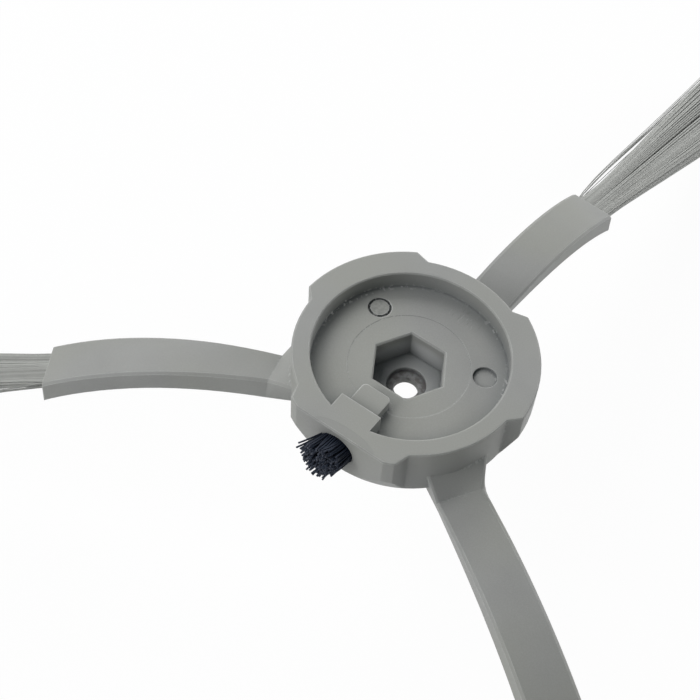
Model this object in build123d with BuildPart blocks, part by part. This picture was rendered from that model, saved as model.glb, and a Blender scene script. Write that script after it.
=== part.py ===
"""Robot vacuum side brush, mounting side up.

One moulded body, a dished hub with three arched arms, carries a flat nylon tuft in the end
of each arm and one short stiff tuft in the side of the hub. Z = 0 is the hub's top rim and
the Z axis is the drive axis. The flat with the stiff tuft faces -Y.
"""
import os
from math import asin, cos, radians, sin, tan

from build123d import *

# Driving dimensions in millimetres and degrees

# Arms around the axis, named in the order of their angles, the first one along +Y
first_arm_angle = 90
tuft_names = ["rear_tuft", "left_tuft", "right_tuft"]

# Hub outline: a lobe between each pair of arms, a notch above each arm
lobe_r = 15.0
notch_depth = 1.3
notch_half_angle = 26.0
lobe_end_slant = 5.7
corner_round = 0.35
flat_cut = 1.2

# Hub section; the rim's wall is measured at the notches
hub_depth = 9.6
lobe_wall = 4.0
underside_taper = 68
underside_round = 4.7
rim_wall = 2.15
rim_edge = 0.15
dish_depth = 2.5
floor_ring_r = 7.2
floor_ring_step = 0.03

# Hexagonal drive socket with its screw hole, and the pocket for the screw head below
socket_flats = 8.0
socket_depth = 4.0
socket_lead_in = 0.2
washer_seat_d = 4.8
washer_seat_depth = 0.75
screw_hole_d = 3.0
screw_head_d = 6.2
screw_web = 1.1

# Block behind the stiff tuft and the lower pad in front of it, a little to one side
tuft_side_shift = -0.25
block_w = 5.35
block_length = 2.3
pad_w = 3.75
pad_length = 3.3
pad_drop = 1.0
pad_corner_round = 0.6

# Round moulding marks in the dish floor, one an outlined ring and one a shallow spot
mark_d = 2.85
mark_wall_gap = 1.25
mark_depth = 0.4
mark_ring_w = 0.3
ring_mark_angle = 148
spot_mark_angle = 27

# Arms: arched strips, set to one side of the radius and twisted, with drafted sides.
# Reaches are measured from the axis, heights down from the rim, widths across the top
arm_reach = 44.1
arm_crest_reach = 20.7
arm_crest_top = 6.78
arm_arch_r = 45.9
arm_thickness = 2.4
arm_root_w = 5.5
arm_tip_w = 6.2
arm_draft = 6
arm_edge = 0.3
arm_root_shift = -0.64
arm_tip_shift = -1.15
arm_root_roll = 18
arm_tip_roll = 3.5
arm_untwist = 2.5
arm_stations = 6

# Wedge between each arm and the hub's wall; left and right as seen from the hub
root_run = 1.95
root_bury = 1.95
root_skew = 11.6
root_left = 5.35
root_left_foot = 3.75
root_right = 3.65
root_right_foot = 2.65
root_left_top = 3.45
root_right_top = 1.7
root_bottom = 8.2

# Flat tufts in the arm ends
pocket_w = 5.0
pocket_h = 1.5
pocket_depth = 4.0
pocket_droop = 22
pocket_lift = 0.22
tuft_length = 60.0
tuft_droop = 17.5
tuft_yaw = -0.9
tuft_fan = 4.5
tuft_splay = 2.0
tuft_columns = 11
tuft_rows = 3
tuft_strand_d = 0.32

# Stiff tuft in the hub's flat
hub_tuft_hole_d = 4.5
hub_tuft_hole_depth = 3.5
hub_tuft_drop = 3.2
hub_tuft_length = 3.2
hub_tuft_rings = 3
hub_tuft_ring_strands = 6
hub_tuft_flare = 9
hub_tuft_strand_d = 0.45

# Bristles: the roots of a tuft are one plug, gripped with this clearance all round
root_clearance = 0.05
strand_sides = 6
strand_bury = 0.5
strand_cut_steps = 5
strand_cut_stride = 3
strand_cut_spread = 0.03

cut_overrun = 1.0

# Places worked out from the dimensions above
arm_angles = [first_arm_angle + i * 360 / len(tuft_names) for i in range(len(tuft_names))]
notch_r = lobe_r - notch_depth
flat_distance = lobe_r - flat_cut
rim_bore_r = notch_r - rim_wall
block_face = rim_bore_r - block_length
pad_face = block_face - pad_length
mark_r = rim_bore_r - mark_wall_gap - mark_d / 2
root_reach = notch_r + root_run
root_inner = notch_r - root_bury
socket_floor = dish_depth + socket_depth
hub_tuft_mouth = (tuft_side_shift, -flat_distance, -hub_tuft_drop)
hub_tuft_plane = Plane(hub_tuft_mouth, x_dir=(1, 0, 0), z_dir=(0, -1, 0))


def polar(radius, angle):
    """Point in plan at a radius and an angle in degrees."""
    return (radius * cos(radians(angle)), radius * sin(radians(angle)))


def cut_length(full_length, index):
    """Length of one strand, with the small unevenness of a trimmed tuft."""
    step = strand_cut_stride * index % strand_cut_steps
    return full_length * (1 - strand_cut_spread * step / strand_cut_steps)


def add_strand(root, direction, diameter, length):
    """Join one straight bristle to the current part, from its root along a direction."""
    start = root - direction * strand_bury
    with BuildSketch(Plane(origin=start, z_dir=direction)) as section:
        RegularPolygon(radius=diameter / 2, side_count=strand_sides)
    extrude(section.sketch, amount=length + strand_bury)


def between(first, last, along):
    """Value a share of the way along an arm, 0 at its root and 1 at its end."""
    return first + (last - first) * along


def arm_slope(along):
    """Downward slope of an arm's top in radians."""
    return asin((between(root_reach, arm_reach, along) - arm_crest_reach) / arm_arch_r)


def arm_height(along):
    """Height of an arm's upright cross-section."""
    return arm_thickness / cos(arm_slope(along))


def arm_plane(along, skew=0):
    """Plane across an arm along +X: origin on the top's middle, X to the left, Y up."""
    top = arm_crest_top + arm_arch_r * (1 - cos(arm_slope(along)))
    reach = between(root_reach, arm_reach, along)
    shift = between(arm_root_shift, arm_tip_shift, along)
    roll = between(arm_tip_roll, arm_root_roll, (1 - along) ** arm_untwist)
    outwards = Vector(1, 0, 0).rotate(Axis.Z, -skew)
    leftwards = Vector(0, 1, 0).rotate(Axis.Z, -skew).rotate(Axis((0, 0, 0), outwards), roll)
    return Plane((reach, shift, -top), x_dir=leftwards, z_dir=outwards)


def arm_section(along, skew=0):
    """Cross-section of an arm along +X."""
    height = arm_height(along)
    width = between(arm_root_w, arm_tip_w, along) + 2 * height * tan(radians(arm_draft))
    with BuildSketch(arm_plane(along, skew)) as section:
        Trapezoid(width, height, 90 - arm_draft, align=(Align.CENTER, Align.MAX))
        chamfer(section.vertices().group_by(Axis.Y)[-1], arm_edge)
    return section.sketch


def pocket_plane(angle):
    """Mouth of the tuft pocket in the arm at an angle: X across the arm, Z outwards."""
    end = arm_plane(1)
    mouth = end.from_local_coords(Vector(0, pocket_lift - arm_height(1) / 2, 0))
    level = end.x_dir.cross(Vector(0, 0, 1)).normalized()
    outwards = level.rotate(Axis((0, 0, 0), end.x_dir), pocket_droop)
    return Plane(
        mouth.rotate(Axis.Z, angle),
        x_dir=end.x_dir.rotate(Axis.Z, angle),
        z_dir=outwards.rotate(Axis.Z, angle),
    )


# One arm along +X and the wedge that joins it to the hub's wall
with BuildPart() as arm:
    root_section = arm_section(0, root_skew)
    loft([root_section] + [arm_section(i / (arm_stations - 1)) for i in range(1, arm_stations)])
    with BuildSketch(Plane((root_inner, arm_root_shift, 0), x_dir=(0, 1, 0), z_dir=(1, 0, 0))) as wedge:
        with BuildLine():
            Polyline(
                (-root_right_foot, -root_bottom),
                (root_left_foot, -root_bottom),
                (root_left, -root_left_top),
                (-root_right, -root_right_top),
                close=True,
            )
        make_face()
        chamfer(wedge.vertices().group_by(Axis.Y)[1:], arm_edge)
    loft([wedge.sketch, root_section], ruled=True)

# Plan of the notch above an arm along +X, open outwards, with slanted ends
with BuildSketch() as notch:
    with BuildLine():
        notch_wall = CenterArc((0, 0), notch_r, -notch_half_angle, 2 * notch_half_angle)
        lobe_corner = Vector(*polar(lobe_r, notch_half_angle + lobe_end_slant))
        lobe_end = Line(notch_wall @ 1, lobe_corner * 2 - notch_wall @ 1)
        outer_x, outer_y, _ = lobe_end @ 1
        clear_x = outer_x + lobe_r
        Polyline(
            (outer_x, outer_y),
            (clear_x, outer_y),
            (clear_x, -outer_y),
            (outer_x, -outer_y),
            notch_wall @ 0,
        )
    make_face()

# Hub and arms, one moulding
with BuildPart() as brush_body:
    with BuildSketch() as hub_outline:
        Circle(lobe_r)
        with PolarLocations(0, len(arm_angles), start_angle=first_arm_angle):
            add(notch.sketch, mode=Mode.SUBTRACT)
        with Locations((0, -flat_distance)):
            Rectangle(2 * lobe_r, lobe_r, align=(Align.CENTER, Align.MAX), mode=Mode.SUBTRACT)
        fillet(hub_outline.vertices(), corner_round)
    extrude(amount=-hub_depth)

    # The underside tapers in below the lobes and rounds over to its flat
    with BuildSketch(Plane.XZ) as hub_section:
        with BuildLine():
            taper_foot = lobe_r - (hub_depth - lobe_wall) / tan(radians(underside_taper))
            Polyline(
                (0, 0),
                (lobe_r, 0),
                (lobe_r, -lobe_wall),
                (taper_foot, -hub_depth),
                (0, -hub_depth),
                close=True,
            )
        make_face()
        fillet(hub_section.vertices().sort_by_distance((taper_foot, -hub_depth))[0], underside_round)
    revolve(axis=Axis.Z, mode=Mode.INTERSECT)
    chamfer(brush_body.faces().sort_by(Axis.Z)[-1].outer_wire().edges(), rim_edge)

    with PolarLocations(0, len(arm_angles), start_angle=first_arm_angle):
        add(arm.part)

    # Dish, with a faint round step in its floor
    with BuildSketch():
        Circle(rim_bore_r)
    extrude(amount=-dish_depth, mode=Mode.SUBTRACT)
    chamfer(brush_body.edges(Select.LAST).filter_by(GeomType.CIRCLE).group_by(Axis.Z)[-1], rim_edge)
    with BuildSketch(Plane.XY.offset(-dish_depth)):
        Circle(floor_ring_r)
    extrude(amount=-floor_ring_step, mode=Mode.SUBTRACT)

    # Block behind the stiff tuft, level with the rim, and the pad in front of it
    with BuildSketch(Plane.XY.offset(-dish_depth - floor_ring_step)):
        with Locations((tuft_side_shift, -block_face)):
            Rectangle(block_w, block_length + corner_round, align=(Align.CENTER, Align.MAX))
    extrude(amount=dish_depth + floor_ring_step)
    with BuildSketch(Plane.XY.offset(-dish_depth - floor_ring_step)) as pad:
        with Locations((tuft_side_shift, -block_face)):
            Rectangle(pad_w, pad_length, align=(Align.CENTER, Align.MIN))
        fillet(pad.vertices().group_by(Axis.Y)[-1], pad_corner_round)
    extrude(amount=dish_depth + floor_ring_step - pad_drop)

    # Drive socket, washer seat, screw hole and the screw head's pocket
    with BuildSketch(Plane.XY.offset(-dish_depth)):
        RegularPolygon(radius=socket_flats / 2, side_count=6, major_radius=False)
    extrude(amount=-socket_depth, mode=Mode.SUBTRACT)
    chamfer(brush_body.edges(Select.LAST).group_by(Axis.Z)[-1], socket_lead_in)
    with Locations((0, 0, -socket_floor)):
        CounterBoreHole(screw_hole_d / 2, washer_seat_d / 2, washer_seat_depth)
    with BuildSketch(Plane.XY.offset(-hub_depth)):
        Circle(screw_head_d / 2)
    extrude(amount=hub_depth - socket_floor - washer_seat_depth - screw_web, mode=Mode.SUBTRACT)

    # Moulding marks
    with BuildSketch(Plane.XY.offset(-dish_depth)):
        with Locations(polar(mark_r, ring_mark_angle)):
            Circle(mark_d / 2)
            Circle(mark_d / 2 - mark_ring_w, mode=Mode.SUBTRACT)
        with Locations(polar(mark_r, spot_mark_angle)):
            Circle(mark_d / 2)
    extrude(amount=-mark_depth, mode=Mode.SUBTRACT)

    # Holes that hold the tufts
    with BuildSketch(hub_tuft_plane):
        Circle(hub_tuft_hole_d / 2)
    extrude(amount=-hub_tuft_hole_depth, mode=Mode.SUBTRACT)
    for angle in arm_angles:
        with BuildSketch(pocket_plane(angle).offset(cut_overrun)):
            SlotOverall(pocket_w, pocket_h)
        extrude(amount=-pocket_depth - cut_overrun, mode=Mode.SUBTRACT)

brush_body.part.label = "brush_body"

# One flat tuft in the arm along +X: the gripped roots and a fan of straight bristles
with BuildPart() as tuft:
    mouth = pocket_plane(0)
    with BuildSketch(mouth):
        SlotOverall(pocket_w - 2 * root_clearance, pocket_h - 2 * root_clearance)
    extrude(amount=root_clearance - pocket_depth)
    column_pitch = (pocket_w - pocket_h) / (tuft_columns - 1)
    row_pitch = (pocket_h - 2 * root_clearance - tuft_strand_d) / tuft_rows
    for row in range(tuft_rows):
        for column in range(tuft_columns):
            across = 2 * column / (tuft_columns - 1) - 1
            up = 2 * row / (tuft_rows - 1) - 1
            root = mouth.from_local_coords(
                Vector(
                    (column - (tuft_columns - 1) / 2) * column_pitch,
                    (row - (tuft_rows - 1) / 2) * row_pitch,
                    0,
                )
            )
            direction = (
                Vector(1, 0, 0)
                .rotate(Axis.Y, tuft_droop - tuft_splay * up)
                .rotate(Axis.Z, tuft_fan * across + tuft_yaw)
            )
            add_strand(root, direction, tuft_strand_d, cut_length(tuft_length, row + column))

# Stiff tuft: roots in the hub's flat and rings of bristles that flare outwards
with BuildPart() as hub_tuft:
    with BuildSketch(hub_tuft_plane):
        Circle(hub_tuft_hole_d / 2 - root_clearance)
    extrude(amount=root_clearance - hub_tuft_hole_depth)
    ring_pitch = (hub_tuft_hole_d / 2 - root_clearance - hub_tuft_strand_d / 2) / hub_tuft_rings
    for ring in range(hub_tuft_rings + 1):
        strand_count = max(1, ring * hub_tuft_ring_strands)
        for step in range(strand_count):
            angle = 360 * step / strand_count
            root = hub_tuft_plane.from_local_coords(Vector(*polar(ring * ring_pitch, angle), 0))
            lean = radians(hub_tuft_flare * ring / hub_tuft_rings)
            spread = Vector(*polar(sin(lean), angle), cos(lean))
            direction = hub_tuft_plane.from_local_coords(spread) - hub_tuft_plane.origin
            add_strand(root, direction, hub_tuft_strand_d, cut_length(hub_tuft_length, ring + step))
hub_tuft.part.label = "hub_tuft"

os.makedirs("parts", exist_ok=True)
export_step(brush_body.part, "parts/brush_body.step")
export_step(hub_tuft.part, "parts/hub_tuft.step")
for name, angle in zip(tuft_names, arm_angles):
    placed_tuft = tuft.part.rotate(Axis.Z, angle)
    placed_tuft.label = name
    export_step(placed_tuft, f"parts/{name}.step")
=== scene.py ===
"""Looks of the side brush: satin moulded plastic, nylon tufts of single filaments, studio light."""
import math
import random

import bpy
from mathutils import Matrix, Vector


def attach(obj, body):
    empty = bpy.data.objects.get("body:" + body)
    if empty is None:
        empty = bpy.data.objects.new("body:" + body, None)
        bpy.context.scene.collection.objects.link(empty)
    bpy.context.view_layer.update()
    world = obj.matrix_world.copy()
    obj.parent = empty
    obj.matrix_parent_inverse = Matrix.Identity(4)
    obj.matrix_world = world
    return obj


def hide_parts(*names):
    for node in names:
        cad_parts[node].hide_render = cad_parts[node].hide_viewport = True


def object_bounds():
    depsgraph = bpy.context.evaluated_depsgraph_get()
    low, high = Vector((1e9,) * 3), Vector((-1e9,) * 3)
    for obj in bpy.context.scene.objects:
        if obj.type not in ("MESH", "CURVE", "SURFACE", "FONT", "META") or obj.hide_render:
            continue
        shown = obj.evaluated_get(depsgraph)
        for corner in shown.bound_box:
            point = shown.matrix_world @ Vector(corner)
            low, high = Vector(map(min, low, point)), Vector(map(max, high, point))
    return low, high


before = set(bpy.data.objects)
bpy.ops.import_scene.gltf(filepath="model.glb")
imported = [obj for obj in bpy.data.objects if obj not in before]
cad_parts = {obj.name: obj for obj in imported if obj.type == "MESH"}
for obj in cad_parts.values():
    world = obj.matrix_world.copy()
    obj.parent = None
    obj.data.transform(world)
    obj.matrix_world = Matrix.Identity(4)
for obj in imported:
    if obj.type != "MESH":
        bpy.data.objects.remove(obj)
cad_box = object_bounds()

MM = 0.001
PICTURE_PX = 700
UP = Vector((0, 0, 1))

# Camera: where the object's origin lies before the lens, in millimetres, and how the camera is turned
FOCAL_PX = 1366.0
SENSOR_MM = 36.0
CAMERA_AZIMUTH = 32.63
CAMERA_ELEVATION = 54.88
CAMERA_ROLL = 4.50
ORIGIN_FROM_LENS = (6.949, 0.321, 156.101)
CLIP_START = 5.0

# Arm ends and their tufts, as in the part's source, in millimetres and degrees
ARM_ANGLES = {"rear_tuft": 90, "left_tuft": 210, "right_tuft": 330}
ARM_REACH = 44.1
ARM_CREST_REACH = 20.7
ARM_CREST_TOP = 6.78
ARM_ARCH_R = 45.9
ARM_THICKNESS = 2.4
ARM_TIP_SHIFT = -1.15
ARM_TIP_ROLL = 3.5
POCKET_W = 5.0
POCKET_H = 1.5
POCKET_LIFT = 0.22
TUFT_LENGTH = 60.0
TUFT_DROOP = 17.5
TUFT_YAW = -0.9
TUFT_FAN = 4.5
TUFT_SPLAY = 2.0
TUFT_BURY = 1.2
STRAND_HALF_W = 1.75
STRAND_HALF_H = 0.36
HUB_TUFT_MOUTH = (-0.25, -13.8, -3.2)
HUB_TUFT_HOLE_D = 4.5
HUB_TUFT_LENGTH = 3.2
HUB_TUFT_FLARE = 9.0

# Marks on the body: their middles and half sizes in millimetres
RING_MARK = (-7.526, 4.703, -2.5)
RING_MARK_DISC_R = 1.12
SINK_MIDDLE = (0.6, -13.8, 0.0)
SINK_HALF = (4.2, 1.3, 0.1)
SCUFF_MIDDLE = (1.6, 9.7, -2.5)
SCUFF_HALF = (2.8, 1.3, 0.8)
SOCKET_MIDDLE = (0.0, 0.0, -5.2)
SOCKET_HALF = (5.2, 5.2, 2.6)
SEAT_MIDDLE = (0.0, 0.0, -7.2)
SEAT_HALF = (2.9, 2.9, 0.78)

# Studio lights: name, azimuth, elevation, size in metres and power in watts
STUDIO_LIGHTS = [
    ("rear_right", 57, 15, 0.30, 2.08),
    ("rear_left", 138, 36, 0.42, 2.15),
    ("high_left", 210, 62, 0.30, 0.90),
    ("front_left", 240, 35, 0.30, 1.55),
    ("front", 262, 15, 0.30, 0.45),
]
LIGHT_DISTANCE = 0.6
AMBIENT = 0.06
AMBIENT_COLOUR = (0.70, 0.86, 1.0)

# Floor: half its width in metres, its gap below the part in millimetres, its colour, how white it looks
FLOOR_HALF = 1.5
FLOOR_GAP = 0.2
FLOOR_COLOUR = (0.85, 0.85, 0.85)
FLOOR_WHITENESS = 0.95

# Nylon filaments: sizes in millimetres, places as shares of the fan's half width and height
FILAMENT_SIDES = 6
NYLON_SEED = 31
NYLON_D = 0.26
NYLON_STEPS = 10
NYLON_STEP_POWER = 1.4
NYLON_COLUMNS = 25
NYLON_ROWS = 6
NYLON_LAYERS = 3
NYLON_LONGEST = 0.995
NYLON_TRIM = 0.03
# Painted light: the grey filaments lighter towards their tips, where light passes through the spread fan
NYLON_TIP_PAINTED_LIGHT = 0.5
COLUMN_START = 0.3
COLUMN_STAGGER = 0.4
COLUMN_DRIFT = 0.22
POCKET_ROOM = 0.14
POCKET_CORNER = 0.12
FAN_WIDTH = 0.93
FAN_SHIFT = -0.09
FAN_DEPTH_POWER = 1.5
FAN_RIPPLE = 0.05
FAN_RIPPLES = 5
SIDE_BOW = 0.25
SIDE_BOW_WAVES = 3
UP_BOW = 0.12
UP_BOW_WAVES = 4
SPREAD_START = 3.5
LOOP_SHARE = 0.18
SIDE_LOOP = -0.55

# Locks of the nylon: how many, how evenly cut, how far each is drawn together, and its part in the shade
NYLON_LOCKS = 12
LOCK_END = 1.02
LOCK_EVEN_SHARE = 0.65
LOCK_LOOSE_SHARE = 0.35
LOCK_PULL = (0.06, 0.34)
LOCK_SHADE_SHARE = 0.6
OWN_SHADE_SHARE = 0.4

# Strays of the nylon: each side of the fan with the least share out to it, and their ranges
NYLON_STRAYS = 9
STRAY_D = 0.10
STRAY_SIDES = ((-1, 0.95), (1, 0.80))
STRAY_HEIGHT = (-0.7, 0.9)
STRAY_BOW = 0.2
STRAY_LOOP = (0.1, 0.6)
STRAY_ROOT = 0.97

# Stiff bristles: sizes in millimetres, leans in degrees, turns about the hole in radians
STIFF_SEED = 7
STIFF_D = 0.22
STIFF_STEPS = 5
STIFF_RINGS = 9
STIFF_PER_RING = 6
STIFF_ROOM = 0.05
STIFF_BURY = 0.7
STIFF_SWEEP = -0.22
STIFF_RIGHT_SPREAD = -0.3
STIFF_RIGHT_TRIM = 0.22
STIFF_ROOT_SHADE = 0.1
# Painted highlight: the black bristles lighter towards their lit, glinting ends
STIFF_TIP_PAINTED_GLINT = 1.0
STIFF_CLUMPS = 12
STIFF_CLUMP_SWAY = 0.5
STIFF_CLUMP_TRIM = 0.16
STIFF_STEP_DRIFT = 0.3
STIFF_LEAN_DRIFT = 2.2
STIFF_TRIM = 0.15
STIFF_TRIM_POWER = 1.5
STIFF_BEND = 0.45
STIFF_BEND_TURN = 1.6
STIFF_STRAYS = ((2.6, 20), (2.95, 17))
STIFF_STRAY_PLACE = 0.98
STIFF_STRAY_LENGTH = 0.97

# Colours of the body's plastic, of what lies on it, and of its painted light, shade and highlights
DARK_GREY = (0.272, 0.275, 0.266)
LIGHT_GREY = (0.301, 0.304, 0.294)
OLIVE_GREY = (0.288, 0.292, 0.268)
SPECKLE_GREY = (0.42, 0.425, 0.41)
LIGHT_SCUFF = (0.43, 0.435, 0.42)
DARK_SCUFF = (0.15, 0.152, 0.15)
# Painted light: a paler tone inside the socket, standing in for light that reaches into it
SOCKET_PAINTED_LIGHT = (0.46, 0.465, 0.468)
# Painted shade: darker tones in the hollows and creases, where shade falls
HOLLOW_PAINTED_SHADE = (0.122, 0.134, 0.138)
CREASE_PAINTED_SHADE = (0.070, 0.076, 0.080)
PALE_SPECKS = (0.52, 0.525, 0.51)
# A darker, uneven tone on the seat below the socket
SEAT_DARK = (0.135, 0.122, 0.118)
DISC_GREY = (0.16, 0.165, 0.16)
# Painted shade: the shallow sink mark's darker tone
SINK_PAINTED_SHADE = (0.22, 0.222, 0.216)
# Painted highlight along the outer edges
EDGE_HIGHLIGHT_GREY = (0.60, 0.605, 0.59)

# Noise in the plastics: waves in a metre, and detail
GRAIN_NOISE = (4400, 3)
CLOUD_NOISE = (160, 4)
OLIVE_NOISE = (60, 1)
SPECKLE_NOISE = (7000, 1)
SCUFF_NOISE = (4600, 1)
SPECK_NOISE = (2300, 1)
SPECK_PATCH_NOISE = (110, 1)
SEAT_NOISE = (1500, 4)
DISC_NOISE = (2100, 3)
EDGE_HIGHLIGHT_NOISE = (420, 3)
FILAMENT_NOISE = (900, 2)

# Masks: a value's two limits, then what they are brought to where that is not 0 and 1
CLOUD_LIMITS = (0.3, 0.7)
OLIVE_MASK = (0.40, 0.60, 0.0, 0.8)
SPECKLE_MASK = (0.35, 0.75, 0.0, 0.14)
SCUFF_PATCH_MASK = (1.0, 0.5, 0.0, 0.4)
LIGHT_SCUFF_MASK = (0.62, 0.68)
DARK_SCUFF_MASK = (0.38, 0.32)
SOCKET_PAINTED_LIGHT_MASK = (1.05, 0.85, 0.0, 0.68)
HOLLOW_PAINTED_SHADE_MASK = (0.97, 0.50, 0.0, 0.55)
CREASE_PAINTED_SHADE_MASK = (0.74, 0.54, 0.0, 0.55)
CREASE_SPECK_MASK = (0.97, 0.82)
SPECK_MASK = (0.56, 0.62)
SPECK_PATCH_MASK = (0.45, 0.62, 0.1, 0.9)
OFF_SOCKET_MASK = (1.0, 1.2)
SEAT_MASK = (1.0, 0.9)
SEAT_DARK_MASK = (0.42, 0.60, 0.15, 0.75)
DISC_MASK = (1.0, 0.94)
DISC_ROUGH_MASK = (0.4, 0.7)
DISC_SHADE = (0.0, 1.0, 0.0, 0.6)
SINK_MASK = (1.0, 0.92)
SINK_SHADE = (0.0, 1.0, 0.0, 0.3)
EDGE_MASK = (0.99, 0.87)
EDGE_OPEN_MASK = (0.80, 0.95)
EDGE_HIGHLIGHT_BREAKUP_MASK = (0.35, 0.65, 0.35, 1.0)
PLASTIC_ROUGHNESS = (0.0, 1.0, 0.42, 0.58)
STRAND_SHADE = (0.0, 1.0, 0.0, 0.75)

# Other settings of the plastics: reaches in millimetres, reliefs as strength and depth in millimetres
SHADER_SAMPLES = 8
HOLLOW_REACH = 3.0
CREASE_REACH = 0.6
EDGE_R = 0.24
SCUFF_TURN = (0, 0, 0.6)
SCUFF_STRETCH = (1, 0.25, 1)
PLASTIC_GLOSS = 0.16
DISC_RELIEF = (0.6, -0.04)
SINK_RELIEF = (0.5, -0.03)
GRAIN_RELIEF = (0.35, 0.02)
FILAMENT_RELIEF = (0.3, 0.005)
FILAMENT_UNEVENNESS = 0.25

# Filament plastics: darkest and lightest colour, roughness, gloss and the gloss's tint; the lightest
# colour is reached towards the tips through painted light
GREY_NYLON = ((0.233, 0.236, 0.223), (0.412, 0.418, 0.398), 0.50, 0.18, (1, 1, 1))
BLACK_NYLON = ((0.0014, 0.0045, 0.0130), (0.0620, 0.0650, 0.0830), 0.45, 0.14, (0.55, 0.78, 1))


def new_mesh_piece(name, verts, faces, strands):
    """A mesh piece in metres, smooth but for its flat ends, with each filament's shade, painted lighter
    towards its tip, on its points.
    """
    mesh = bpy.data.meshes.new(name)
    mesh.from_pydata(verts, [], faces)
    mesh.polygons.foreach_set("use_smooth", [len(f) == 4 for f in faces])
    own = mesh.attributes.new("strand", "FLOAT", "POINT")
    own.data.foreach_set("value", strands)
    mesh.update()
    piece = bpy.data.objects.new(name, mesh)
    bpy.context.scene.collection.objects.link(piece)
    return piece


class Filaments:
    """Collects round filaments, each a closed tube along a gently bent line."""

    def __init__(self):
        self.verts = []
        self.faces = []
        self.strands = []

    def add(self, line, diameter, strand, painted_tip_light):
        """One filament along a line of points in millimetres, its shade growing towards its tip through
        painted light.
        """
        first = len(self.verts)
        run = (line[-1] - line[0]).normalized()
        across = run.orthogonal().normalized()
        upward = run.cross(across)
        for i, middle in enumerate(line):
            shade = strand + painted_tip_light * (i / (len(line) - 1)) ** 2
            for k in range(FILAMENT_SIDES):
                turn = 2 * math.pi * k / FILAMENT_SIDES
                rim = across * math.cos(turn) + upward * math.sin(turn)
                self.verts.append((middle + rim * (diameter / 2)) * MM)
                self.strands.append(shade)
        for i in range(len(line) - 1):
            for k in range(FILAMENT_SIDES):
                a = first + i * FILAMENT_SIDES + k
                b = first + i * FILAMENT_SIDES + (k + 1) % FILAMENT_SIDES
                self.faces.append((a, b, b + FILAMENT_SIDES, a + FILAMENT_SIDES))
        last = first + (len(line) - 1) * FILAMENT_SIDES
        self.faces.append(tuple(range(first + FILAMENT_SIDES - 1, first - 1, -1)))
        self.faces.append(tuple(range(last, last + FILAMENT_SIDES)))


def bristle_direction(across, up):
    """Direction of the part's own bristle at a place in the fan, for an arm along +X."""
    droop = math.radians(TUFT_DROOP - TUFT_SPLAY * up)
    yaw = math.radians(TUFT_FAN * across + TUFT_YAW)
    return Vector((math.cos(droop) * math.cos(yaw), math.cos(droop) * math.sin(yaw), -math.sin(droop)))


def within(value):
    """A place in the fan, kept between its sides."""
    return max(-1.0, min(1.0, value))


def combed_locks(rng):
    """One layer's locks: each one's two sides in the fan, its shade and how far it is drawn together."""
    loose = sorted(rng.uniform(-1, 1) for _ in range(NYLON_LOCKS - 1))
    even = [2 * (i + 1) / NYLON_LOCKS - 1 for i in range(NYLON_LOCKS - 1)]
    inner = [LOCK_EVEN_SHARE * e + LOCK_LOOSE_SHARE * c for e, c in zip(even, loose)]
    cuts = [-LOCK_END] + inner + [LOCK_END]
    return [(a, b, rng.random(), rng.uniform(*LOCK_PULL)) for a, b in zip(cuts, cuts[1:])]


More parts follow.
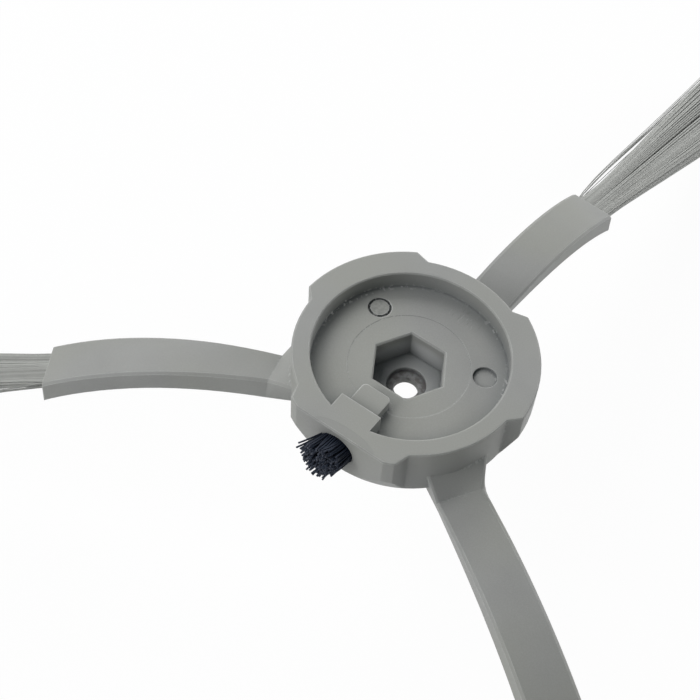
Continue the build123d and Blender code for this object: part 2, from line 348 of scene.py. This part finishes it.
def flat_tuft(name, angle, seed):
    """The fan of fine nylon filaments in one arm's end, in loose locks with a few strays at its sides."""
    rng = random.Random(seed)
    slope = math.asin((ARM_REACH - ARM_CREST_REACH) / ARM_ARCH_R)
    top = ARM_CREST_TOP + ARM_ARCH_R * (1 - math.cos(slope))
    roll = math.radians(ARM_TIP_ROLL)
    left = Vector((0, math.cos(roll), math.sin(roll)))
    upright = Vector((0, -math.sin(roll), math.cos(roll)))
    mouth = Vector((ARM_REACH, ARM_TIP_SHIFT, -top))
    mouth += upright * (POCKET_LIFT - ARM_THICKNESS / math.cos(slope) / 2)
    droop = math.radians(TUFT_DROOP)
    out = Vector((math.cos(droop), 0, -math.sin(droop)))
    half_w = POCKET_W / 2 - POCKET_ROOM
    half_h = POCKET_H / 2 - POCKET_ROOM
    turn = Matrix.Rotation(math.radians(angle), 3, "Z")
    layers = [combed_locks(rng) for _ in range(NYLON_LAYERS)]
    tuft = Filaments()

    def filament(u, v, across, up, shade, bow, loop, diameter):
        """One filament from its place in the pocket to its place among the ends of the fan."""
        root = mouth + left * (u * half_w) + upright * (v * half_h)
        length = TUFT_LENGTH * (NYLON_LONGEST - NYLON_TRIM * rng.random())
        tip = mouth + left * (STRAND_HALF_W * across) + upright * (STRAND_HALF_H * up)
        tip += bristle_direction(across, up) * length
        opening = tip - root - out * length
        line = [root - out * TUFT_BURY]
        for i in range(NYLON_STEPS):
            share = (i / (NYLON_STEPS - 1)) ** NYLON_STEP_POWER
            opened = share * share * (TUFT_LENGTH + SPREAD_START) / (share * TUFT_LENGTH + SPREAD_START)
            sway = bow * (4 * share * (1 - share))
            sway += left * (loop * share / LOOP_SHARE * math.exp(1 - share / LOOP_SHARE))
            line.append(root + out * (length * share) + opening * opened + sway)
        tuft.add([turn @ point for point in line], diameter, shade, NYLON_TIP_PAINTED_LIGHT)

    for row in range(NYLON_ROWS):
        depth = (row + 0.5) / NYLON_ROWS
        v = 1 - 2 * depth
        phase = rng.uniform(0, 2 * math.pi)
        layer = layers[row * NYLON_LAYERS // NYLON_ROWS]
        for column in range(NYLON_COLUMNS):
            drift = rng.uniform(-COLUMN_DRIFT, COLUMN_DRIFT)
            u = 2 * (column + COLUMN_START + COLUMN_STAGGER * (row % 2) + drift) / NYLON_COLUMNS - 1
            low, high, lock_shade, pull = next(lock for lock in layer if u <= lock[1])
            across = FAN_WIDTH * (u + ((low + high) / 2 - u) * pull) + FAN_SHIFT
            up = 1 - 2 * depth ** FAN_DEPTH_POWER + FAN_RIPPLE * math.sin(FAN_RIPPLES * u + phase)
            bow = left * (SIDE_BOW * math.sin(SIDE_BOW_WAVES * u + phase))
            bow += upright * (UP_BOW * math.sin(UP_BOW_WAVES * u - phase))
            shade = LOCK_SHADE_SHARE * lock_shade + OWN_SHADE_SHARE * rng.random()
            loop = SIDE_LOOP * max(0.0, u) ** 2
            cornered = u * (1 - POCKET_CORNER * v * v)
            filament(cornered, v, within(across), within(up), shade, bow, loop, NYLON_D)
    for _ in range(NYLON_STRAYS):
        for side, nearest in STRAY_SIDES:
            v = rng.uniform(*STRAY_HEIGHT)
            bow = left * rng.uniform(-STRAY_BOW, STRAY_BOW)
            loop = rng.uniform(*STRAY_LOOP) if side > 0 else 0.0
            across = side * rng.uniform(nearest, 1.0)
            filament(side * STRAY_ROOT, v, across, v, rng.random(), bow, loop, STRAY_D)
    piece = new_mesh_piece(name + "_filaments", tuft.verts, tuft.faces, tuft.strands)
    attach(piece, "root")
    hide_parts(name)
    return piece


def stiff_tuft():
    """The short black tuft in the hub's flat: stiff bristles in clumps, with ragged, uneven ends."""
    rng = random.Random(STIFF_SEED)
    mouth = Vector(HUB_TUFT_MOUTH)
    across = Vector((1, 0, 0))
    outwards = Vector((0, -1, 0))
    tuft = Filaments()
    ring_room = HUB_TUFT_HOLE_D / 2 - STIFF_ROOM - STIFF_D / 2

    def ray(turn):
        """Direction across the hole at a turn about its middle."""
        return across * math.cos(turn) + UP * math.sin(turn)

    def bristle(turn, share, lean, length, sway):
        """One bristle from its place in the hole, leaning outwards, with its end swayed aside."""
        aside = ray(turn)
        spread = Vector((min(aside.x, aside.x * STIFF_RIGHT_SPREAD), 0, aside.z))
        direction = outwards * math.cos(lean) + spread * math.sin(lean)
        root = mouth + aside * (ring_room * share) - outwards * STIFF_BURY
        line = []
        for i in range(STIFF_STEPS + 1):
            along = i / STIFF_STEPS
            line.append(root + direction * ((length + STIFF_BURY) * along) + sway * (along * along))
        tuft.add(line, STIFF_D, STIFF_ROOT_SHADE * rng.random(), STIFF_TIP_PAINTED_GLINT * rng.random())

    clumps = []
    for _ in range(STIFF_CLUMPS):
        middle = ray(rng.uniform(0, 2 * math.pi)) * math.sqrt(rng.random())
        pull = ray(rng.uniform(0, 2 * math.pi)) * rng.uniform(0, STIFF_CLUMP_SWAY)
        clumps.append((middle, pull, rng.uniform(0, STIFF_CLUMP_TRIM)))
    sweep = across * STIFF_SWEEP
    for ring in range(STIFF_RINGS):
        share = ring / (STIFF_RINGS - 1)
        count = max(1, STIFF_PER_RING * ring)
        for step in range(count):
            turn = 2 * math.pi * (step + rng.uniform(-STIFF_STEP_DRIFT, STIFF_STEP_DRIFT)) / count
            place = ray(turn) * share
            _, pull, cut = min(clumps, key=lambda clump: (clump[0] - place).length)
            lean = math.radians(HUB_TUFT_FLARE * share + rng.gauss(0, STIFF_LEAN_DRIFT))
            trim = cut + STIFF_TRIM * rng.random() ** STIFF_TRIM_POWER
            trim += STIFF_RIGHT_TRIM * share * max(0.0, math.cos(turn))
            bend = ray(turn + rng.uniform(-STIFF_BEND_TURN, STIFF_BEND_TURN)) * rng.uniform(0, STIFF_BEND)
            bristle(turn, share, lean, HUB_TUFT_LENGTH * (1 - trim), bend + pull + sweep)
    for turn, lean in STIFF_STRAYS:
        bristle(turn, STIFF_STRAY_PLACE, math.radians(lean), HUB_TUFT_LENGTH * STIFF_STRAY_LENGTH, sweep)
    piece = new_mesh_piece("hub_tuft_filaments", tuft.verts, tuft.faces, tuft.strands)
    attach(piece, "root")
    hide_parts("hub_tuft")
    return piece


def new_material(name):
    """A new node material, its tree and its Principled shader."""
    material = bpy.data.materials.new(name)
    material.use_nodes = True
    tree = material.node_tree
    return material, tree, tree.nodes["Principled BSDF"]


def noise(tree, vector, scale, detail):
    """Noise over a vector, about 0.5 on average."""
    node = tree.nodes.new("ShaderNodeTexNoise")
    node.inputs["Scale"].default_value = scale
    node.inputs["Detail"].default_value = detail
    tree.links.new(vector, node.inputs["Vector"])
    return node.outputs["Fac"]


def span(tree, value, first, last, to_first=0.0, to_last=1.0):
    """A value between two limits, brought to between two others."""
    node = tree.nodes.new("ShaderNodeMapRange")
    node.inputs["From Min"].default_value = first
    node.inputs["From Max"].default_value = last
    node.inputs["To Min"].default_value = to_first
    node.inputs["To Max"].default_value = to_last
    tree.links.new(value, node.inputs["Value"])
    return node.outputs["Result"]


def product(tree, first, second):
    """Two values multiplied."""
    node = tree.nodes.new("ShaderNodeMath")
    node.operation = "MULTIPLY"
    tree.links.new(first, node.inputs[0])
    tree.links.new(second, node.inputs[1])
    return node.outputs["Value"]


def over(tree, below, colour, factor):
    """A colour laid over another by a factor."""
    node = tree.nodes.new("ShaderNodeMix")
    node.data_type = "RGBA"
    node.inputs["B"].default_value = (*colour, 1)
    tree.links.new(below, node.inputs["A"])
    tree.links.new(factor, node.inputs["Factor"])
    return node.outputs["Result"]


def apart(tree, vector, middle, scale):
    """Distance of a vector from a middle in millimetres, each axis divided by its own scale."""
    place = tree.nodes.new("ShaderNodeVectorMath")
    place.operation = "SUBTRACT"
    place.inputs[1].default_value = [c * MM for c in middle]
    tree.links.new(vector, place.inputs[0])
    shrunk = tree.nodes.new("ShaderNodeVectorMath")
    shrunk.operation = "DIVIDE"
    shrunk.inputs[1].default_value = [c * MM for c in scale]
    tree.links.new(place.outputs["Vector"], shrunk.inputs[0])
    far = tree.nodes.new("ShaderNodeVectorMath")
    far.operation = "LENGTH"
    tree.links.new(shrunk.outputs["Vector"], far.inputs[0])
    return far.outputs["Value"]


def openness(tree, reach):
    """How open the surface is within a reach in millimetres: 1 on a face, less in a corner."""
    node = tree.nodes.new("ShaderNodeAmbientOcclusion")
    node.samples = SHADER_SAMPLES
    node.only_local = True
    node.inputs["Distance"].default_value = reach * MM
    return node.outputs["AO"]


def bump(tree, height, normal, strength, depth):
    """A normal with a fine relief, its depth in millimetres."""
    node = tree.nodes.new("ShaderNodeBump")
    node.inputs["Strength"].default_value = strength
    node.inputs["Distance"].default_value = depth * MM
    tree.links.new(height, node.inputs["Height"])
    if normal:
        tree.links.new(normal, node.inputs["Normal"])
    return node.outputs["Normal"]


def drifting_grey(tree, place, cloud):
    """Clouded grey that drifts between neutral and a little olive, with fine light speckles."""
    tint = tree.nodes.new("ShaderNodeValToRGB")
    tint.color_ramp.elements[0].position = CLOUD_LIMITS[0]
    tint.color_ramp.elements[0].color = (*DARK_GREY, 1)
    tint.color_ramp.elements[1].position = CLOUD_LIMITS[1]
    tint.color_ramp.elements[1].color = (*LIGHT_GREY, 1)
    tree.links.new(cloud, tint.inputs["Fac"])
    olive = span(tree, noise(tree, place, *OLIVE_NOISE), *OLIVE_MASK)
    colour = over(tree, tint.outputs["Color"], OLIVE_GREY, olive)
    speckle = span(tree, noise(tree, place, *SPECKLE_NOISE), *SPECKLE_MASK)
    return over(tree, colour, SPECKLE_GREY, speckle)


def scuffed(tree, place, colour):
    """A colour with short light and dark scuffs in one patch of the dish floor."""
    streaked = tree.nodes.new("ShaderNodeMapping")
    streaked.inputs["Rotation"].default_value = SCUFF_TURN
    streaked.inputs["Scale"].default_value = SCUFF_STRETCH
    tree.links.new(place, streaked.inputs["Vector"])
    scuffs = noise(tree, streaked.outputs["Vector"], *SCUFF_NOISE)
    patch = span(tree, apart(tree, place, SCUFF_MIDDLE, SCUFF_HALF), *SCUFF_PATCH_MASK)
    light = product(tree, span(tree, scuffs, *LIGHT_SCUFF_MASK), patch)
    dark = product(tree, span(tree, scuffs, *DARK_SCUFF_MASK), patch)
    colour = over(tree, colour, LIGHT_SCUFF, light)
    return over(tree, colour, DARK_SCUFF, dark)


def painted_shade_light_and_specks(tree, place, colour, hollow):
    """A colour with painted light in the socket, painted shade in the hollows and creases, and pale dust
    specks in the corners.
    """
    socket_far = apart(tree, place, SOCKET_MIDDLE, SOCKET_HALF)
    crease = openness(tree, CREASE_REACH)
    # Painted light in the socket, then painted shade in the hollows and creases
    colour = over(tree, colour, SOCKET_PAINTED_LIGHT, span(tree, socket_far, *SOCKET_PAINTED_LIGHT_MASK))
    colour = over(tree, colour, HOLLOW_PAINTED_SHADE, span(tree, hollow, *HOLLOW_PAINTED_SHADE_MASK))
    colour = over(tree, colour, CREASE_PAINTED_SHADE, span(tree, crease, *CREASE_PAINTED_SHADE_MASK))
    specks = span(tree, crease, *CREASE_SPECK_MASK)
    specks = product(tree, specks, span(tree, noise(tree, place, *SPECK_NOISE), *SPECK_MASK))
    specks = product(tree, specks, span(tree, noise(tree, place, *SPECK_PATCH_NOISE), *SPECK_PATCH_MASK))
    specks = product(tree, specks, span(tree, socket_far, *OFF_SOCKET_MASK))
    return over(tree, colour, PALE_SPECKS, specks)


def darkened_seat(tree, place, colour):
    """A colour made darker, unevenly, on the round seat below the socket."""
    seat = span(tree, apart(tree, place, SEAT_MIDDLE, SEAT_HALF), *SEAT_MASK)
    blotches = span(tree, noise(tree, place, *SEAT_NOISE), *SEAT_DARK_MASK)
    return over(tree, colour, SEAT_DARK, product(tree, seat, blotches))


def ring_disc(tree, place):
    """Mask of the rough disc inside the ring mark."""
    disc_far = apart(tree, place, RING_MARK, (RING_MARK_DISC_R,) * 3)
    rough = span(tree, noise(tree, place, *DISC_NOISE), *DISC_ROUGH_MASK)
    return product(tree, span(tree, disc_far, *DISC_MASK), rough)


def sink_mark(tree, place):
    """Mask of the shallow sink above the stiff tuft's hole."""
    return span(tree, apart(tree, place, SINK_MIDDLE, SINK_HALF), *SINK_MASK)


def rounded_normal(tree):
    """The surface's normal with its sharp edges rounded."""
    rounded = tree.nodes.new("ShaderNodeBevel")
    rounded.samples = SHADER_SAMPLES
    rounded.inputs["Radius"].default_value = EDGE_R * MM
    return rounded.outputs["Normal"]


def edge_highlighted(tree, place, colour, hollow, rounded):
    """A colour with painted highlights along the outer edges, broken up unevenly."""
    geometry = tree.nodes.new("ShaderNodeNewGeometry")
    facing = tree.nodes.new("ShaderNodeVectorMath")
    facing.operation = "DOT_PRODUCT"
    tree.links.new(rounded, facing.inputs[0])
    tree.links.new(geometry.outputs["Normal"], facing.inputs[1])
    edge = span(tree, facing.outputs["Value"], *EDGE_MASK)
    edge = product(tree, edge, span(tree, hollow, *EDGE_OPEN_MASK))
    edge = product(tree, edge, span(tree, noise(tree, place, *EDGE_HIGHLIGHT_NOISE), *EDGE_HIGHLIGHT_BREAKUP_MASK))
    return over(tree, colour, EDGE_HIGHLIGHT_GREY, edge)


def moulded_plastic():
    """Satin grey plastic: mould grain, clouding, painted highlights on its edges, painted shade in its
    hollows, creases and sink mark, painted light in the socket, a darker seat, pale dust specks in its
    corners, a few scuffs.
    """
    material, tree, shader = new_material("moulded_plastic")
    link = tree.links.new
    place = tree.nodes.new("ShaderNodeTexCoord").outputs["Object"]
    cloud = noise(tree, place, *CLOUD_NOISE)
    hollow = openness(tree, HOLLOW_REACH)
    rounded = rounded_normal(tree)
    disc = ring_disc(tree, place)
    sink = sink_mark(tree, place)

    colour = drifting_grey(tree, place, cloud)
    colour = scuffed(tree, place, colour)
    colour = painted_shade_light_and_specks(tree, place, colour, hollow)
    colour = darkened_seat(tree, place, colour)
    colour = over(tree, colour, DISC_GREY, span(tree, disc, *DISC_SHADE))
    # Painted shade over the sink mark, besides its dent in the relief below
    colour = over(tree, colour, SINK_PAINTED_SHADE, span(tree, sink, *SINK_SHADE))
    # Painted highlights along the outer edges
    colour = edge_highlighted(tree, place, colour, hollow, rounded)
    link(colour, shader.inputs["Base Color"])
    link(span(tree, cloud, *PLASTIC_ROUGHNESS), shader.inputs["Roughness"])
    shader.inputs["Specular IOR Level"].default_value = PLASTIC_GLOSS

    relief = bump(tree, disc, rounded, *DISC_RELIEF)
    relief = bump(tree, sink, relief, *SINK_RELIEF)
    grain = noise(tree, place, *GRAIN_NOISE)
    link(bump(tree, grain, relief, *GRAIN_RELIEF), shader.inputs["Normal"])
    return material


def filament_plastic(name, dark, light, roughness, gloss, gloss_tint):
    """Extruded filament: each strand its own shade, painted lighter towards its tip, with fine
    unevenness.
    """
    material, tree, shader = new_material(name)
    link = tree.links.new
    own = tree.nodes.new("ShaderNodeAttribute")
    own.attribute_name = "strand"
    place = tree.nodes.new("ShaderNodeTexCoord").outputs["Object"]
    uneven = noise(tree, place, *FILAMENT_NOISE)
    mixed = tree.nodes.new("ShaderNodeMath")
    mixed.operation = "MULTIPLY_ADD"
    mixed.inputs[1].default_value = FILAMENT_UNEVENNESS
    link(uneven, mixed.inputs[0])
    link(span(tree, own.outputs["Fac"], *STRAND_SHADE), mixed.inputs[2])
    shade = tree.nodes.new("ShaderNodeMix")
    shade.data_type = "RGBA"
    shade.inputs["A"].default_value = (*dark, 1)
    shade.inputs["B"].default_value = (*light, 1)
    link(mixed.outputs["Value"], shade.inputs["Factor"])
    link(shade.outputs["Result"], shader.inputs["Base Color"])
    shader.inputs["Roughness"].default_value = roughness
    shader.inputs["Specular IOR Level"].default_value = gloss
    shader.inputs["Specular Tint"].default_value = (*gloss_tint, 1)
    link(bump(tree, uneven, None, *FILAMENT_RELIEF), shader.inputs["Normal"])
    return material


def dress(piece, material):
    """Give a piece or a CAD node one material."""
    piece.data.materials.clear()
    piece.data.materials.append(material)


def seen_as_white(tree):
    """A factor that is 1 for what the camera sees itself, in a reflection or through a surface."""
    path = tree.nodes.new("ShaderNodeLightPath")
    factor = path.outputs["Is Camera Ray"]
    for ray in ("Is Glossy Ray", "Is Transmission Ray"):
        either = tree.nodes.new("ShaderNodeMath")
        either.operation = "MAXIMUM"
        tree.links.new(factor, either.inputs[0])
        tree.links.new(path.outputs[ray], either.inputs[1])
        factor = either.outputs["Value"]
    return factor


def pale_floor():
    """Matt pale material that looks white and keeps a faint shadow."""
    material = bpy.data.materials.new("pale_floor")
    material.use_nodes = True
    tree = material.node_tree
    tree.nodes.clear()
    output = tree.nodes.new("ShaderNodeOutputMaterial")
    matt = tree.nodes.new("ShaderNodeBsdfDiffuse")
    matt.inputs["Color"].default_value = (*FLOOR_COLOUR, 1)
    white = tree.nodes.new("ShaderNodeEmission")
    shadowed = tree.nodes.new("ShaderNodeMixShader")
    seen = tree.nodes.new("ShaderNodeMath")
    seen.operation = "MULTIPLY"
    seen.inputs[1].default_value = FLOOR_WHITENESS
    tree.links.new(seen_as_white(tree), seen.inputs[0])
    tree.links.new(seen.outputs["Value"], shadowed.inputs["Fac"])
    tree.links.new(matt.outputs["BSDF"], shadowed.inputs[1])
    tree.links.new(white.outputs["Emission"], shadowed.inputs[2])
    tree.links.new(shadowed.outputs["Shader"], output.inputs["Surface"])
    return material


def floor(height):
    """A wide level floor at a height in metres."""
    half = FLOOR_HALF
    corners = [(-half, -half, height), (half, -half, height), (half, half, height), (-half, half, height)]
    mesh = bpy.data.meshes.new("floor")
    mesh.from_pydata(corners, [], [(0, 1, 2, 3)])
    piece = bpy.data.objects.new("floor", mesh)
    bpy.context.scene.collection.objects.link(piece)
    dress(piece, pale_floor())


def soft_light(name, azimuth, elevation, size, power):
    """A square studio light that faces the object from an azimuth and an elevation."""
    lamp = bpy.data.lights.new(name, "AREA")
    lamp.size = size
    lamp.energy = power
    holder = bpy.data.objects.new(name, lamp)
    a = math.radians(azimuth)
    e = math.radians(elevation)
    away = Vector((math.cos(a) * math.cos(e), math.sin(a) * math.cos(e), math.sin(e)))
    holder.location = away * LIGHT_DISTANCE
    holder.rotation_euler = away.to_track_quat("Z", "Y").to_euler()
    bpy.context.scene.collection.objects.link(holder)


def surroundings(strength, colour):
    """Even light all round, seen as plain white."""
    world = bpy.data.worlds.new("surroundings")
    world.use_nodes = True
    bpy.context.scene.world = world
    tree = world.node_tree
    sky = tree.nodes["Background"]
    seen = seen_as_white(tree)
    tone = tree.nodes.new("ShaderNodeMix")
    tone.data_type = "RGBA"
    tone.inputs["A"].default_value = (*colour, 1)
    tone.inputs["B"].default_value = (1, 1, 1, 1)
    tree.links.new(seen, tone.inputs["Factor"])
    tree.links.new(tone.outputs["Result"], sky.inputs["Color"])
    tree.links.new(span(tree, seen, 0.0, 1.0, strength, 1.0), sky.inputs["Strength"])


def camera():
    """The camera at the photograph's viewing angle."""
    a, e, r = (math.radians(x) for x in (CAMERA_AZIMUTH, CAMERA_ELEVATION, CAMERA_ROLL))
    back = Vector((math.sin(a) * math.cos(e), -math.cos(a) * math.cos(e), math.sin(e)))
    level = Vector((math.cos(a), math.sin(a), 0))
    tilted = back.cross(level)
    right = level * math.cos(r) + tilted * math.sin(r)
    above = tilted * math.cos(r) - level * math.sin(r)
    x, y, z = ORIGIN_FROM_LENS
    place = (back * z + above * y - right * x) * MM
    lens = bpy.data.cameras.new("camera")
    lens.sensor_width = SENSOR_MM
    lens.lens = SENSOR_MM * FOCAL_PX / PICTURE_PX
    lens.clip_start = CLIP_START * MM
    holder = bpy.data.objects.new("camera", lens)
    turn = Matrix((right, above, back)).transposed().to_4x4()
    holder.matrix_world = Matrix.Translation(place) @ turn
    bpy.context.scene.collection.objects.link(holder)
    bpy.context.scene.camera = holder


camera()

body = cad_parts["brush_body"]
dress(body, moulded_plastic())
nylon = filament_plastic("grey_nylon", *GREY_NYLON)
for number, (name, angle) in enumerate(ARM_ANGLES.items()):
    dress(flat_tuft(name, angle, NYLON_SEED + number), nylon)
dress(stiff_tuft(), filament_plastic("black_nylon", *BLACK_NYLON))

floor(cad_box[0][2] - FLOOR_GAP * MM)
for light in STUDIO_LIGHTS:
    soft_light(*light)
surroundings(AMBIENT, AMBIENT_COLOUR)

bpy.context.scene.view_settings.view_transform = "Standard"
